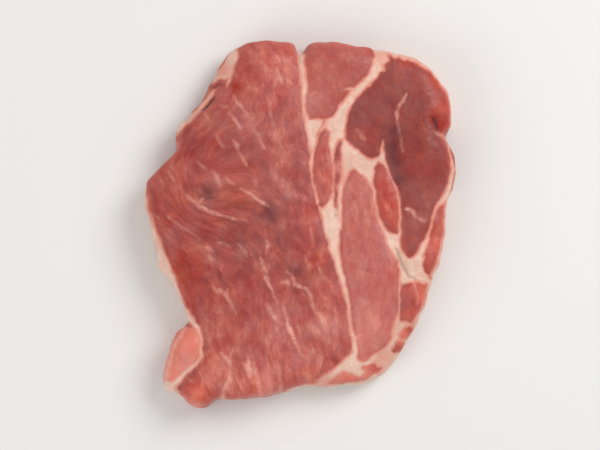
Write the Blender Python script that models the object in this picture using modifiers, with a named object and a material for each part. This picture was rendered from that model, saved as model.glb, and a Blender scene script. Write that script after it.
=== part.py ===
"""Raw pork collar steak: one boneless slice across the neck of the pig, lying flat.

The slice is a slab with an irregular rounded margin. Seams of fat part its muscles: each muscle
swells a little above the seams round it, and the slab thins out towards some stretches of its
margin. X runs across the slice, Y along it and Z up. The origin is under the slice's middle.
"""

import bmesh
import bpy
import numpy as np
from mathutils import Vector, noise
from mathutils.kdtree import KDTree

MM = 0.001

# Driving dimensions, in millimetres.
WIDTH = 92.0
LENGTH = 108.0
THICKNESS = 17.0
UPPER_EDGE_RADIUS = 7.0  # the margin rounds over at the top,
LOWER_EDGE_RADIUS = 4.5  # and less where it sags onto the board
CROWN = 1.1  # how far a wide muscle stands above the seams
CROWN_REACH = 4.5  # distance from a seam over which a muscle gains most of its crown
UNDERSIDE_CROWN = 0.8  # share of the top's relief that shows on the side it lies on
WAVE_HEIGHT = 0.9  # broad unevenness of the upper cut face
WAVE_LENGTH = 26.0
LEAN = (0.8, 1.6)  # how far the upper face lies to the right of the lower one, and behind it
RAGGED_DEPTH = 0.6  # unevenness of the margin
RAGGED_LENGTH = 9.0

CONTACT = 0.45  # what stands within this of the board is pressed flat on it
VOXEL = 1.0  # grain of the mesh while it is shaped
SMOOTHING_PASSES = 3
TRIANGLES = 9600

# The margin of the slice, clockwise from the upper left, as (x, y) in millimetres.
UPPER_MARGIN = (
    (-20.5, 51.5), (-17.5, 52.3), (-13.0, 53.3), (-6.5, 53.6), (-2.0, 53.0), (0.3, 50.2),
    (2.3, 53.4), (8.0, 53.7), (13.5, 52.8), (19.0, 51.8), (26.5, 50.6), (33.0, 49.5),
)
RIGHT_MARGIN = (
    (38.8, 46.0), (42.6, 41.2), (44.6, 34.5), (45.0, 29.8), (43.2, 26.2), (44.6, 22.2),
    (46.0, 16.0), (45.3, 11.0), (43.5, 5.5), (43.3, -1.5), (42.0, -9.0), (40.0, -15.5),
    (38.3, -18.8), (37.5, -23.0), (35.4, -27.7), (33.2, -31.9), (30.9, -36.3), (28.4, -40.2),
)
LOWER_MARGIN = (
    (25.2, -44.0), (19.3, -46.6), (12.4, -47.6), (8.0, -48.2), (3.5, -47.6), (-3.0, -49.0),
    (-11.5, -50.6), (-19.5, -51.7), (-24.8, -51.4), (-27.5, -53.2), (-31.0, -53.8), (-34.5, -51.6),
    (-37.2, -49.6), (-40.0, -48.8),
)
LEFT_MARGIN = (
    (-40.2, -44.0), (-38.8, -37.5), (-36.4, -32.3), (-33.4, -29.6), (-33.4, -26.8), (-35.6, -21.5),
    (-38.0, -16.4), (-42.0, -12.2), (-42.3, -7.0), (-44.2, 0.0), (-46.0, 6.0), (-45.2, 12.8),
    (-39.8, 17.4), (-36.5, 22.5), (-36.4, 28.0), (-32.6, 32.8), (-28.9, 37.0), (-26.8, 41.5),
    (-23.6, 47.0),
)

# Seams of fat as strokes: (x, y, width) in millimetres at each point.
SEAMS = {
    "long seam": (
        (0.5, 51.0, 2.6), (1.4, 42.5, 2.6), (1.2, 36.5, 1.5), (3.0, 29.0, 3.6), (3.7, 20.0, 1.4),
        (4.0, 11.5, 0.8), (7.5, 4.0, 4.0), (9.9, -3.0, 4.5), (12.0, -12.5, 2.0), (14.6, -22.5, 1.2),
        (15.1, -27.5, 1.0), (16.0, -36.0, 2.4),
    ),
    "slanting seam": (
        (24.3, 51.0, 4.8), (21.7, 44.7, 4.8), (17.6, 39.2, 3.6), (13.0, 34.0, 4.0), (11.5, 30.0, 4.8),
        (10.0, 25.0, 3.0), (9.8, 18.5, 1.0),
    ),
    "upper star": ((3.0, 30.0, 3.0), (6.5, 29.7, 3.2), (11.0, 30.0, 4.0)),
    "middle star": (
        (13.0, 27.0, 3.0), (14.5, 20.5, 4.0), (19.5, 17.2, 4.4), (22.5, 18.6, 3.0), (24.3, 23.0, 1.2),
    ),
    "inner seam": ((13.5, 18.0, 3.0), (12.0, 12.0, 2.0), (11.5, 6.0, 1.8), (10.8, 0.0, 2.4)),
    "thin seam": (
        (24.0, 20.0, 2.0), (25.8, 16.0, 1.2), (29.0, 10.0, 1.0), (29.7, 2.5, 1.2), (28.0, -3.0, 2.4),
        (31.0, -11.5, 5.0),
    ),
    "lower star": ((25.0, -1.0, 1.4), (28.5, -7.5, 3.0), (32.0, -13.0, 5.4), (38.0, -16.5, 3.4)),
    "rising branch": ((35.0, -9.0, 2.8), (38.5, 0.5, 1.2), (42.5, 7.5, 1.8), (45.0, 13.0, 2.2)),
    "falling branch": (
        (30.0, -15.5, 2.4), (29.4, -23.0, 0.8), (29.5, -29.5, 3.6), (25.5, -37.0, 3.0),
        (20.0, -40.5, 3.0), (15.5, -40.5, 5.0), (10.5, -43.0, 2.2), (6.5, -46.5, 2.0),
    ),
    "left rim": (
        (-45.5, 12.0, 0.9), (-45.6, 5.0, 1.1), (-42.5, -5.0, 1.2), (-40.3, -11.5, 3.6),
        (-37.2, -17.5, 1.3), (-33.0, -26.5, 1.4), (-29.3, -31.0, 1.8), (-29.1, -37.0, 1.4),
        (-33.0, -43.0, 1.6), (-38.0, -47.5, 3.2),
    ),
    "upper left fat": ((-19.5, 50.5, 3.4), (-22.3, 45.5, 4.2), (-26.5, 40.0, 1.6), (-34.8, 29.8, 2.2)),
}

# Where the slab thins out or dips: (x, y, reach, drop) in millimetres.
DIPS = (
    (27.0, -44.0, 17.0, 5.5),
    (8.0, -52.0, 14.0, 2.5),
    (-24.0, 47.0, 12.0, 3.5),
    (-37.0, -45.0, 11.0, 3.0),
    (0.5, 54.0, 6.0, 2.5),
    (44.0, 10.0, 9.0, 2.0),
    (-27.0, 35.8, 3.4, 3.2),
    (39.5, 30.2, 2.6, 1.4),
)
# Where it swells, in the same terms.
SWELLS = (
    (-12.0, 5.0, 34.0, 0.8),
    (33.0, 27.0, 15.0, 1.0),
    (-34.5, -38.0, 6.0, 1.2),
    (-30.5, -49.0, 6.0, 1.2),
)


def clear_scene():
    for obj in list(bpy.data.objects):
        bpy.data.objects.remove(obj, do_unlink=True)


def meat_material():
    """Moist lean meat, dull red."""
    material = bpy.data.materials.new("raw_meat")
    material.use_nodes = True
    shader = material.node_tree.nodes["Principled BSDF"]
    shader.inputs["Base Color"].default_value = (0.42, 0.10, 0.085, 1.0)
    shader.inputs["Roughness"].default_value = 0.42
    shader.inputs["Metallic"].default_value = 0.0
    return material


def margin_curve():
    """The margin as a filled flat curve, with the slab's depth."""
    data = bpy.data.curves.new("margin", "CURVE")
    data.dimensions = "2D"
    data.fill_mode = "BOTH"
    data.resolution_u = 6
    points = UPPER_MARGIN + RIGHT_MARGIN + LOWER_MARGIN + LEFT_MARGIN
    spline = data.splines.new("BEZIER")
    spline.bezier_points.add(len(points) - 1)
    for bezier_point, (x, y) in zip(spline.bezier_points, points):
        bezier_point.co = (x * MM, y * MM, 0.0)
        bezier_point.handle_left_type = "AUTO"
        bezier_point.handle_right_type = "AUTO"
    spline.use_cyclic_u = True
    data.extrude = THICKNESS / 2 * MM
    curve = bpy.data.objects.new("margin", data)
    curve.location.z = THICKNESS / 2 * MM
    bpy.context.collection.objects.link(curve)
    return curve


def evaluated_mesh(obj, name):
    bpy.context.view_layer.update()
    graph = bpy.context.evaluated_depsgraph_get()
    mesh = bpy.data.meshes.new_from_object(obj.evaluated_get(graph), depsgraph=graph)
    mesh.name = name
    return mesh


def slab_from(curve):
    """A welded mesh of the curve's slab, standing on Z = 0."""
    mesh = evaluated_mesh(curve, "steak")
    mesh.transform(curve.matrix_world)
    bpy.data.objects.remove(curve)
    shape = bmesh.new()
    shape.from_mesh(mesh)
    bmesh.ops.remove_doubles(shape, verts=shape.verts, dist=0.00001)
    bmesh.ops.recalc_face_normals(shape, faces=shape.faces)
    shape.to_mesh(mesh)
    shape.free()
    slab = bpy.data.objects.new("steak", mesh)
    bpy.context.collection.objects.link(slab)
    return slab


def apply_modifiers(obj):
    """Bakes the object's modifiers into its mesh."""
    mesh = evaluated_mesh(obj, "steak")
    obj.modifiers.clear()
    obj.data = mesh


def remesh(obj, voxel):
    modifier = obj.modifiers.new("even grain", "REMESH")
    modifier.mode = "VOXEL"
    modifier.voxel_size = voxel * MM
    apply_modifiers(obj)


def read_points(mesh):
    """The mesh's vertices in millimetres, one row each."""
    flat = np.empty(len(mesh.vertices) * 3)
    mesh.vertices.foreach_get("co", flat)
    return flat.reshape(-1, 3) / MM


def write_points(mesh, points):
    mesh.vertices.foreach_set("co", (points * MM).ravel())
    mesh.update()


def smooth_step(value, low, high):
    share = np.clip((value - low) / (high - low), 0.0, 1.0)
    return share * share * (3.0 - 2.0 * share)


def distance_to_fat(x, y):
    """Distance from each point to the nearest edge of a fat seam, 0 inside one."""
    nearest = np.full(len(x), np.inf)
    for stroke in SEAMS.values():
        for (x0, y0, width0), (x1, y1, width1) in zip(stroke, stroke[1:]):
            run_x, run_y = x1 - x0, y1 - y0
            share = ((x - x0) * run_x + (y - y0) * run_y) / (run_x**2 + run_y**2)
            share = np.clip(share, 0.0, 1.0)
            half_width = (width0 + share * (width1 - width0)) / 2
            away = np.hypot(x - x0 - share * run_x, y - y0 - share * run_y)
            nearest = np.minimum(nearest, away - half_width)
    return np.maximum(nearest, 0.0)


def bumps(x, y, spots):
    """Sum of soft round spots, each (x, y, reach, height)."""
    total = np.zeros(len(x))
    for spot_x, spot_y, reach, height in spots:
        away = np.hypot(x - spot_x, y - spot_y) / reach
        total += height * np.exp(-2.0 * away**2)
    return total


def wander(points, length, seed):
    """Smooth noise from about -1 to 1 at each point, with waves of the given length."""
    place = Vector((seed, 2.3 * seed, 0.7 * seed))
    return np.array([noise.noise(Vector(p) / length + place) for p in points])


def wall_near(points, normals):
    """Each point's distance in plan from the vertical wall, and the wall's inward direction there."""
    on_wall = np.abs(points[:, 2] - THICKNESS / 2) < THICKNESS / 4
    wall_points, outward = points[on_wall][:, :2], normals[on_wall][:, :2]
    tree = KDTree(len(wall_points))
    for index, (x, y) in enumerate(wall_points):
        tree.insert((x, y, 0.0), index)
    tree.balance()
    found = [tree.find((x, y, 0.0)) for x, y in points[:, :2]]
    depth = np.array([distance for _, _, distance in found])
    outward = outward[[index for _, index, _ in found]]
    inward = -outward / np.linalg.norm(outward, axis=1)[:, None]
    return depth, inward


def round_corner(points, depth, inward, corner, radius):
    """Draws what lies in the square corner between the wall and a cut face onto a quarter circle.

    corner is the height of the cut face.
    """
    upward = 1.0 if corner == 0.0 else -1.0
    side = depth - radius
    rise = np.abs(points[:, 2] - corner) - radius
    reach = np.hypot(side, rise)
    outside = (side < 0.0) & (rise < 0.0) & (reach > radius)
    pull = np.where(outside, radius / np.maximum(reach, radius) - 1.0, 0.0)
    points[:, :2] += inward * (side * pull)[:, None]
    points[:, 2] += upward * rise * pull


def rough_margin(points, normals):
    """Pushes the margin in and out, along its own direction, by an uneven amount."""
    push = RAGGED_DEPTH * wander(points, RAGGED_LENGTH, 3.1)
    points[:, :2] += normals[:, :2] * push[:, None]


def shape_faces(points):
    """Gives both cut faces their muscles, seams, dips and waves."""
    x, y = points[:, 0].copy(), points[:, 1].copy()
    height = points[:, 2].copy()
    share = np.clip(height / THICKNESS, 0.0, 1.0)
    crown = CROWN * (1.0 - np.exp(-distance_to_fat(x, y) / CROWN_REACH)) - CROWN / 2
    flat = np.column_stack((x, y, np.zeros(len(x))))
    waves = WAVE_HEIGHT * wander(flat, WAVE_LENGTH, 1.7)
    top = crown + waves + bumps(x, y, SWELLS) - bumps(x, y, DIPS)
    height += top * smooth_step(share, 0.15, 1.0)
    underside = UNDERSIDE_CROWN * -crown
    height += underside * smooth_step(share, 0.35, 0.0)
    points[:, :2] += np.outer(share - 0.5, LEAN)
    points[:, 2] = height


def read_normals(mesh):
    flat = np.empty(len(mesh.vertices) * 3)
    mesh.vertices.foreach_get("normal", flat)
    return flat.reshape(-1, 3)


def sculpt(obj):
    points = read_points(obj.data)
    depth, inward = wall_near(points, read_normals(obj.data))
    round_corner(points, depth, inward, THICKNESS, UPPER_EDGE_RADIUS)
    round_corner(points, depth, inward, 0.0, LOWER_EDGE_RADIUS)
    write_points(obj.data, points)
    rough_margin(points, read_normals(obj.data))
    shape_faces(points)
    write_points(obj.data, points)


def soften(obj):
    modifier = obj.modifiers.new("soften", "SMOOTH")
    modifier.factor = 0.5
    modifier.iterations = SMOOTHING_PASSES
    apply_modifiers(obj)


def settle(obj):
    """Presses the underside flat on the board wherever it comes close to it."""
    points = read_points(obj.data)
    points[:, 2] = np.maximum(points[:, 2] - points[:, 2].min() - CONTACT, 0.0)
    write_points(obj.data, points)


def thin_out(obj, triangles):
    """Drops faces where the surface is flat, down to the given number of triangles."""
    obj.data.calc_loop_triangles()
    modifier = obj.modifiers.new("thin out", "DECIMATE")
    modifier.ratio = triangles / len(obj.data.loop_triangles)
    modifier.use_collapse_triangulate = True
    apply_modifiers(obj)


def fit_to_size(obj):
    """Brings the slice to its driving dimensions, standing on Z = 0 and centred in X and Y."""
    points = read_points(obj.data)
    low, high = points.min(axis=0), points.max(axis=0)
    size = np.array((WIDTH, LENGTH, THICKNESS))
    points = (points - (low + high) / 2) * size / (high - low)
    points[:, 2] += THICKNESS / 2
    write_points(obj.data, points)


def build_steak():
    steak = slab_from(margin_curve())
    remesh(steak, VOXEL)
    sculpt(steak)
    soften(steak)
    settle(steak)
    thin_out(steak, TRIANGLES)
    fit_to_size(steak)
    steak.data.materials.clear()
    steak.data.materials.append(meat_material())
    steak.data.shade_smooth()
    return steak


def main():
    clear_scene()
    food = bpy.data.collections.new("pork_collar_steak")
    bpy.context.scene.collection.children.link(food)
    steak = build_steak()
    for holder in list(steak.users_collection):
        holder.objects.unlink(steak)
    food.objects.link(steak)


main()
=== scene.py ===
import math

import bpy
import numpy as np
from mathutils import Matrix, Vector, noise


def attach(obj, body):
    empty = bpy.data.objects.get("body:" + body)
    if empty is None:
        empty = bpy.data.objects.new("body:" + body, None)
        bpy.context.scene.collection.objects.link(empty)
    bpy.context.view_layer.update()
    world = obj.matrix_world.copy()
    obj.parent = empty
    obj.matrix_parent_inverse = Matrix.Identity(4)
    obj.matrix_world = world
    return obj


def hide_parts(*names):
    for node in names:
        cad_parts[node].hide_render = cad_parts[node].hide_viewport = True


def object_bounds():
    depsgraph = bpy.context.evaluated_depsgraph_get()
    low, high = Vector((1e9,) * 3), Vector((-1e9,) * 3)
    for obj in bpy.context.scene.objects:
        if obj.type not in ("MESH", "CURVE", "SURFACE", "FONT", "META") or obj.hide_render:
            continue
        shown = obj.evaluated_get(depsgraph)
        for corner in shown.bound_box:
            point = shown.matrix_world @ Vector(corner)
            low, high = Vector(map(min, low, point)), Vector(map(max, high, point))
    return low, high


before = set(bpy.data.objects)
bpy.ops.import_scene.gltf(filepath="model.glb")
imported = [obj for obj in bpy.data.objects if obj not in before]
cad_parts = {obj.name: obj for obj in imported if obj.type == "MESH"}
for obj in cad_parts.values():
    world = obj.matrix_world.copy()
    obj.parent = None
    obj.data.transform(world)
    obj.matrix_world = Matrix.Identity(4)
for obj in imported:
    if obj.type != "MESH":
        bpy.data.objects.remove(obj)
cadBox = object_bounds()
print("frame loaded")

mm = 0.001
farAway = 1000.0

# Everything below is in millimetres: x across the steak, y along it, on its upper face.
# Distances come out negative inside a seam and positive outside it.

slab = {
    "node": "steak",
    "thickness": 17.0,
    "slant": (0.8, 1.6),  # how far the upper face lies to the right of the lower one, and behind it
    "doubles": 0.01,  # corners closer than this are merged
    "voxel": 0.49, "smoothing": 16,
    "drift": 4.6, "driftSize": 17.0,  # the seams wander sideways on their way down
    "driftFrom": 0.25, "driftTo": 1.0,  # between these shares of the depth
    "kink": 0.4, "kinkSize": 2.8,  # and their edges are unsteady
    "spreadFrom": 0.36, "spreadTo": 0.8,  # where the covers of fat widen
    "spreadPlay": 0.6, "spreadSize": 7.0,
}

# Where each noise is read from.
seeds = {
    "drift": 3.3, "kink": 6.1, "spread": 8.8, "waver": 1.3, "bundles": 4.1, "grain": 7.7,
    "lumps": 2.9, "fatLumps": 5.3, "folds": 9.4,
}

# Seams of fat: strokes of (x, y, width).
fatSeams = {
    "longSeam": [
        (0.0, 60.0, 1.6), (0.3, 53.5, 1.6), (0.5, 50.6, 2.4), (0.9, 45.4, 2.3), (1.4, 41.6, 2.4),
        (1.3, 38.4, 1.9), (1.2, 35.2, 1.3), (1.5, 32.8, 1.7), (2.2, 30.4, 2.0), (2.9, 26.4, 2.0),
        (3.4, 22.4, 1.7), (3.6, 19.4, 1.3), (3.3, 16.4, 1.1), (3.7, 13.0, 0.8), (4.5, 10.0, 0.9),
        (5.3, 7.0, 1.2),
    ],
    "lowerLongSeam": [
        (9.9, -6.4, 3.4), (10.9, -10.0, 2.8), (12.0, -14.2, 2.4), (13.2, -18.2, 1.9),
        (14.0, -22.0, 1.5), (14.6, -26.4, 1.3), (15.1, -30.0, 1.4), (16.0, -32.6, 1.7),
        (16.4, -35.0, 1.8), (16.5, -37.8, 2.4),
    ],
    "forkSpur": [(16.2, -32.8, 1.3), (17.6, -32.1, 0.8), (18.7, -31.3, 0.3)],
    "forkTip": [(15.6, -31.8, 1.0), (15.0, -30.8, 0.5)],
    "slantingSeam": [
        (26.4, 60.0, 3.4), (24.6, 52.0, 3.6), (23.9, 49.6, 3.6), (23.0, 47.0, 3.6),
        (21.5, 44.4, 3.0), (19.2, 41.8, 2.6), (17.2, 39.7, 2.6), (15.0, 37.6, 2.8),
        (13.2, 34.8, 3.6), (12.2, 31.8, 3.8),
    ],
    "slantingSpur": [(13.4, 40.2, 0.4), (15.2, 40.0, 1.2), (17.6, 39.8, 1.8)],
    "innerSeam": [
        (9.9, 24.6, 2.6), (9.7, 21.6, 1.6), (9.9, 18.6, 0.9), (9.9, 14.0, 0.5), (9.8, 10.4, 0.6),
        (9.4, 8.2, 1.3),
    ],
    "band": [
        (12.9, 23.0, 1.8), (13.2, 18.0, 2.5), (12.6, 14.0, 2.2), (11.9, 11.0, 1.9),
        (11.7, 8.0, 1.8), (11.7, 4.0, 1.7), (11.6, -1.0, 1.6),
    ],
    "starSpike": [(24.3, 25.2, 0.3), (24.3, 22.8, 1.0), (24.0, 20.2, 2.2)],
    "starFoot": [
        (20.8, 13.0, 1.9), (21.8, 10.2, 1.1), (22.1, 7.0, 1.1), (22.6, 4.0, 1.1), (23.3, 1.6, 1.1),
        (24.3, -0.6, 1.3),
    ],
    "thinSeam": [
        (24.8, 18.6, 1.4), (25.9, 15.4, 0.7), (27.3, 12.8, 0.7), (28.3, 10.4, 0.8),
        (29.1, 7.6, 0.8), (29.4, 4.0, 0.9), (29.4, 0.0, 0.9), (29.4, -3.0, 1.3),
    ],
    "lowStarUpperArm": [
        (23.0, 1.6, 0.8), (24.2, -0.6, 1.4), (25.6, -2.8, 2.4), (27.2, -5.8, 3.0),
        (28.9, -9.0, 2.6),
    ],
    "lowStarRisingArm": [
        (34.6, -9.8, 3.2), (36.0, -7.0, 2.3), (37.2, -4.4, 1.6), (38.2, -1.4, 0.8),
        (39.2, 2.6, 0.7), (40.3, 5.6, 1.1), (42.0, 7.4, 1.9), (43.9, 9.8, 2.8), (44.8, 12.8, 2.2),
        (45.2, 16.6, 1.6), (44.9, 20.0, 1.0), (43.8, 24.0, 0.5),
    ],
    "rightRim": [
        (43.9, 9.0, 1.8), (43.2, 5.0, 1.3), (42.9, 1.0, 1.1), (42.6, -3.0, 1.1), (41.7, -7.0, 1.3),
        (40.7, -11.0, 1.3), (39.5, -14.4, 1.9),
    ],
    "lowStarRightArm": [(34.6, -14.0, 4.0), (37.2, -15.4, 2.8), (39.0, -16.6, 2.4)],
    "upperRightRim": [
        (25.6, 51.4, 1.6), (27.3, 50.8, 1.5), (28.4, 50.5, 2.6), (29.6, 50.2, 1.3),
        (30.8, 49.9, 2.5), (32.0, 49.6, 1.2), (33.2, 49.1, 2.1), (34.8, 48.2, 1.0),
        (36.4, 47.2, 1.4), (38.7, 45.5, 0.9), (40.9, 43.4, 1.3), (42.7, 41.1, 0.8),
        (43.9, 38.9, 1.1), (44.8, 36.0, 0.8), (45.0, 32.6, 1.0), (44.6, 29.6, 0.5),
    ],
    "upperRightCover": [
        (24.9, 52.3, 2.0), (28.4, 51.6, 2.2), (32.4, 50.7, 2.0), (36.9, 48.5, 2.2),
        (40.7, 44.9, 2.0), (43.9, 40.4, 1.8), (45.3, 35.6, 1.8), (45.6, 31.0, 1.4),
    ],
    "lowerRightRim": [
        (38.4, -17.4, 1.4), (37.4, -20.6, 0.9), (36.2, -24.4, 1.0), (34.2, -28.2, 1.5),
        (32.6, -31.4, 1.3), (31.0, -34.4, 1.3), (28.6, -37.8, 2.2), (26.0, -40.2, 2.2),
    ],
    "lowStarFallingArm": [
        (29.7, -15.0, 1.6), (29.3, -18.6, 0.9), (29.2, -21.6, 0.5), (29.1, -24.4, 0.7),
        (28.8, -27.0, 1.5), (28.8, -29.0, 2.6), (28.0, -31.2, 2.2), (27.2, -33.4, 1.4),
        (26.4, -35.6, 1.9), (24.8, -37.2, 2.8), (22.8, -38.6, 2.6), (20.4, -40.0, 1.8),
        (17.6, -41.0, 2.4),
    ],
    "fallingArmSpur": [(28.8, -28.8, 2.0), (31.4, -28.8, 1.8), (33.4, -29.4, 1.2)],
    "bottomBranch": [
        (15.0, -40.4, 3.4), (12.4, -41.8, 3.2), (9.8, -43.5, 3.0), (7.6, -45.2, 3.4),
        (5.8, -46.9, 3.2),
    ],
    "bottomRim": [(12.0, -47.0, 0.8), (7.0, -47.2, 2.2), (2.0, -47.2, 1.5), (-3.0, -48.0, 0.7)],
    "lowerRightEdge": [
        (27.6, -39.6, 2.0), (24.6, -43.0, 1.6), (20.4, -45.4, 1.4), (15.0, -46.6, 0.9),
    ],
    "leftRim": [
        (-45.2, 11.6, 0.5), (-45.1, 8.6, 1.2), (-45.0, 5.9, 1.8), (-44.5, 3.0, 1.9),
        (-43.5, 0.0, 2.1), (-42.6, -2.4, 2.1), (-41.6, -5.0, 2.3), (-40.9, -7.5, 2.8),
        (-40.3, -10.0, 3.7), (-39.7, -12.0, 4.1), (-38.5, -14.1, 3.3), (-37.0, -16.4, 2.4),
        (-35.8, -19.1, 1.8), (-34.7, -22.0, 1.6), (-33.5, -24.6, 1.9), (-32.3, -26.8, 2.2),
        (-30.9, -28.7, 1.9), (-29.6, -30.6, 1.9), (-29.1, -33.2, 1.4), (-29.2, -36.0, 1.3),
        (-28.9, -38.2, 1.6), (-30.4, -40.3, 1.6), (-32.6, -42.2, 1.7), (-34.6, -44.0, 1.9),
        (-36.4, -45.8, 2.5), (-37.8, -47.2, 3.2), (-38.6, -48.6, 3.2),
    ],
    "upperLeftTail": [(-20.0, 46.1, 2.0), (-20.6, 43.6, 1.5), (-21.2, 40.6, 0.4)],
    "upperLeftStrand": [
        (-25.1, 40.3, 1.3), (-26.6, 38.6, 2.3), (-28.4, 36.4, 2.1), (-29.6, 34.4, 1.8),
        (-31.0, 32.8, 2.3), (-33.2, 31.2, 2.6), (-35.2, 29.4, 2.8), (-36.2, 27.6, 1.8),
    ],
}

# Wider patches of fat, as outlines.
fatPatches = {
    "topPatch": [
        (1.2, 33.0), (2.4, 31.5), (5.0, 31.3), (7.4, 31.4), (6.8, 29.6), (5.6, 26.8), (5.1, 24.0),
        (4.3, 21.0), (3.2, 20.0), (2.6, 24.0), (2.2, 28.0),
    ],
    "slantingPatch": [
        (14.8, 35.4), (14.2, 31.0), (13.5, 28.0), (13.6, 25.6), (12.4, 24.4), (11.4, 24.8),
        (10.6, 22.0), (9.2, 21.4), (8.2, 24.0), (8.6, 27.4), (7.4, 28.2), (6.0, 26.6), (5.2, 24.2),
        (5.0, 26.0), (6.2, 29.0), (7.6, 31.2), (9.8, 32.0), (11.8, 35.2),
    ],
    "raggedEnd": [
        (21.8, 53.0), (22.0, 50.4), (21.2, 48.6), (21.6, 47.4), (20.6, 46.2), (20.2, 44.8),
        (18.6, 43.6), (18.2, 42.2), (16.9, 41.2), (16.4, 38.8), (14.5, 37.0), (14.7, 35.4),
        (15.8, 37.6), (17.8, 38.6), (18.9, 40.6), (20.6, 40.7), (21.3, 42.6), (23.0, 43.2),
        (23.4, 45.0), (25.3, 45.4), (25.0, 47.2), (26.6, 48.6), (26.0, 50.0), (27.0, 51.2),
        (26.8, 53.0),
    ],
    "middleStar": [
        (12.4, 26.0), (13.6, 25.6), (15.0, 23.9), (17.2, 22.4), (19.6, 20.4), (21.6, 19.4),
        (23.0, 20.4), (24.8, 21.0), (25.3, 18.4), (24.4, 17.9), (23.3, 18.5), (22.3, 17.2),
        (21.8, 15.0), (21.7, 12.4), (20.2, 12.3), (18.4, 13.8), (17.0, 15.6), (16.0, 16.5),
        (15.1, 15.8), (14.3, 14.2), (13.4, 12.6), (12.2, 14.4), (12.3, 20.0),
    ],
    "wedge": [
        (4.4, 8.8), (5.6, 5.9), (6.6, 5.2), (7.6, 6.0), (8.6, 7.8), (9.6, 9.0), (10.6, 7.0),
        (11.6, 4.0), (12.1, 0.0), (11.9, -4.0), (11.6, -7.6), (9.4, -9.4), (8.3, -5.6),
        (7.1, -1.4), (6.0, 2.4),
    ],
    "lowStar": [
        (25.2, -1.5), (26.8, -2.0), (28.6, -2.1), (30.1, -1.8), (29.9, -6.2), (30.7, -8.2),
        (32.0, -9.4), (33.5, -8.9), (35.0, -8.0), (37.0, -9.0), (36.4, -12.0), (37.0, -14.2),
        (39.8, -15.8), (39.4, -17.6), (36.2, -16.9), (34.4, -16.3), (32.4, -17.2), (30.4, -18.0),
        (29.4, -17.4), (28.9, -13.0), (28.5, -10.2), (27.0, -7.0), (25.6, -3.4),
    ],
    "lowerRightPatch": [
        (27.9, -26.6), (29.6, -27.8), (33.4, -28.2), (35.4, -26.6), (33.8, -31.0), (31.6, -34.8),
        (29.6, -37.8), (27.0, -40.6), (24.6, -41.6), (22.4, -40.2), (22.4, -38.8), (24.4, -37.2),
        (26.0, -35.0), (26.8, -32.6), (27.4, -29.6),
    ],
    "bottomStar": [
        (15.2, -36.6), (17.3, -36.8), (17.8, -38.8), (19.8, -40.0), (20.6, -41.4), (19.8, -43.2),
        (18.0, -44.4), (15.6, -43.6), (13.0, -43.0), (11.0, -41.8), (11.6, -40.4), (13.0, -38.6),
        (14.6, -37.6),
    ],
    "lowerLeftStar": [
        (-40.4, -44.6), (-39.2, -44.0), (-37.8, -45.0), (-36.4, -44.2), (-35.6, -45.6),
        (-36.4, -48.0), (-37.0, -50.0), (-40.4, -50.0), (-41.0, -47.0),
    ],
    "upperLeftPatch": [
        (-17.6, 54.6), (-17.6, 49.8), (-19.0, 46.8), (-19.8, 44.2), (-21.5, 43.1), (-23.3, 43.5),
        (-25.4, 42.5), (-28.0, 41.8), (-28.2, 44.4), (-25.0, 47.2), (-22.8, 48.8), (-20.4, 54.0),
    ],
}

# How much wider the fat becomes on its way down the sides, or narrower.
sideSpread = {
    "upperRightRim": 2.4, "upperRightCover": 1.0, "leftRim": 3.2, "rightRim": 2.6,
    "lowerRightRim": 2.6, "lowerRightEdge": 2.2, "bottomRim": 1.8, "upperLeftPatch": -2.4,
    "upperLeftStrand": -0.7, "lowerLeftStar": -1.0, "upperLeftTail": -1.5,
}

# Slivers of lean that lie in the fat, as strokes.
leanSlivers = {
    "redLens": [
        (8.2, 26.6, 0.2), (7.5, 25.2, 0.9), (6.9, 23.2, 2.6), (6.6, 20.4, 4.1), (6.7, 16.4, 5.2),
        (6.9, 12.6, 4.9), (7.0, 9.8, 3.1), (7.0, 7.4, 1.0), (6.8, 6.0, 0.2),
    ],
    "thinRed": [
        (12.0, 24.6, 0.3), (11.6, 22.0, 1.0), (11.35, 19.6, 1.3), (11.2, 16.8, 1.6),
        (11.0, 14.0, 1.5), (10.75, 11.6, 0.9), (10.5, 9.0, 0.5), (10.4, 5.4, 0.2),
    ],
    "islandUpper": [(32.8, -30.0, 1.2), (31.6, -31.0, 2.6), (30.5, -31.9, 1.4)],
    "islandLower": [(31.0, -34.0, 1.4), (29.8, -34.9, 2.5), (28.6, -35.8, 1.2)],
    "underBand": [(19.4, -41.6, 0.8), (21.4, -41.8, 1.8), (23.6, -41.6, 1.6), (24.8, -41.2, 0.6)],
}

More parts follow.
